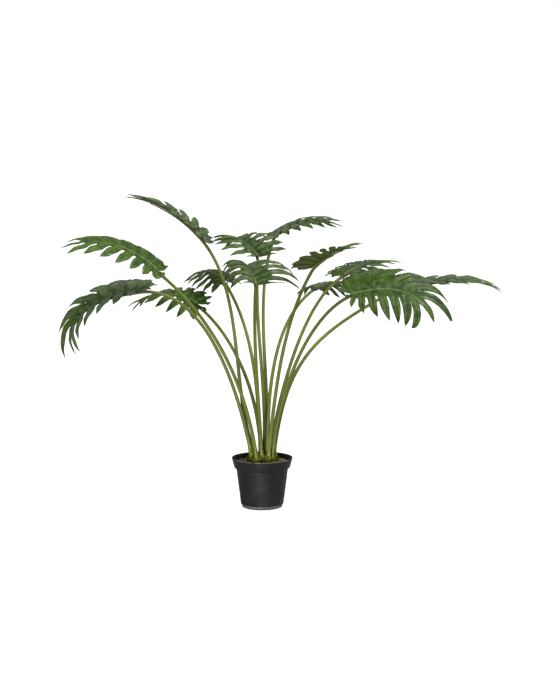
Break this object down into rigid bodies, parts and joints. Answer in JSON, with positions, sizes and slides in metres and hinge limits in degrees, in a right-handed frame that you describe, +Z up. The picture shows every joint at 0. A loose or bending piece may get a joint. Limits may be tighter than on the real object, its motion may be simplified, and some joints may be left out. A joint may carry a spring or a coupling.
{
  "type": "philodendron plant in nursery pot",
  "caption": "Potted split-leaf philodendron: long arching petioles carry deeply lobed glossy leaves and stand in soil in a tapered nursery pot with a flared collar.",
  "frame": {"origin": "centre of the pot's flat underside, on the surface that the pot stands on", "axes": "+Z up; the view with the widest spread of leaves looks along +Y, and +X is to that view's right"},
  "size_m": [1.2436, 0.7247, 0.8773],
  "materials": {
    "pot": "satin black injection-moulded polypropylene",
    "soil": "matt brown peat and bark potting mix",
    "petiole": "smooth satin olive green petiole",
    "leaf": "leathery glossy dark green leaf blade"
  },
  "bodies": {
    "root": {"pot": "pot", "soil": "soil", "petiole_01": "petiole", "petiole_02": "petiole", "petiole_03": "petiole", "petiole_04": "petiole", "petiole_05": "petiole", "petiole_06": "petiole", "petiole_07": "petiole", "petiole_08": "petiole", "petiole_09": "petiole", "petiole_10": "petiole", "petiole_11": "petiole", "petiole_12": "petiole", "petiole_13": "petiole", "leaf_01": "leaf", "leaf_02": "leaf", "leaf_03": "leaf", "leaf_04": "leaf", "leaf_05": "leaf", "leaf_06": "leaf", "leaf_07": "leaf", "leaf_08": "leaf", "leaf_09": "leaf", "leaf_10": "leaf", "leaf_11": "leaf", "leaf_12": "leaf", "leaf_13": "leaf"}
  },
  "joints": []
}
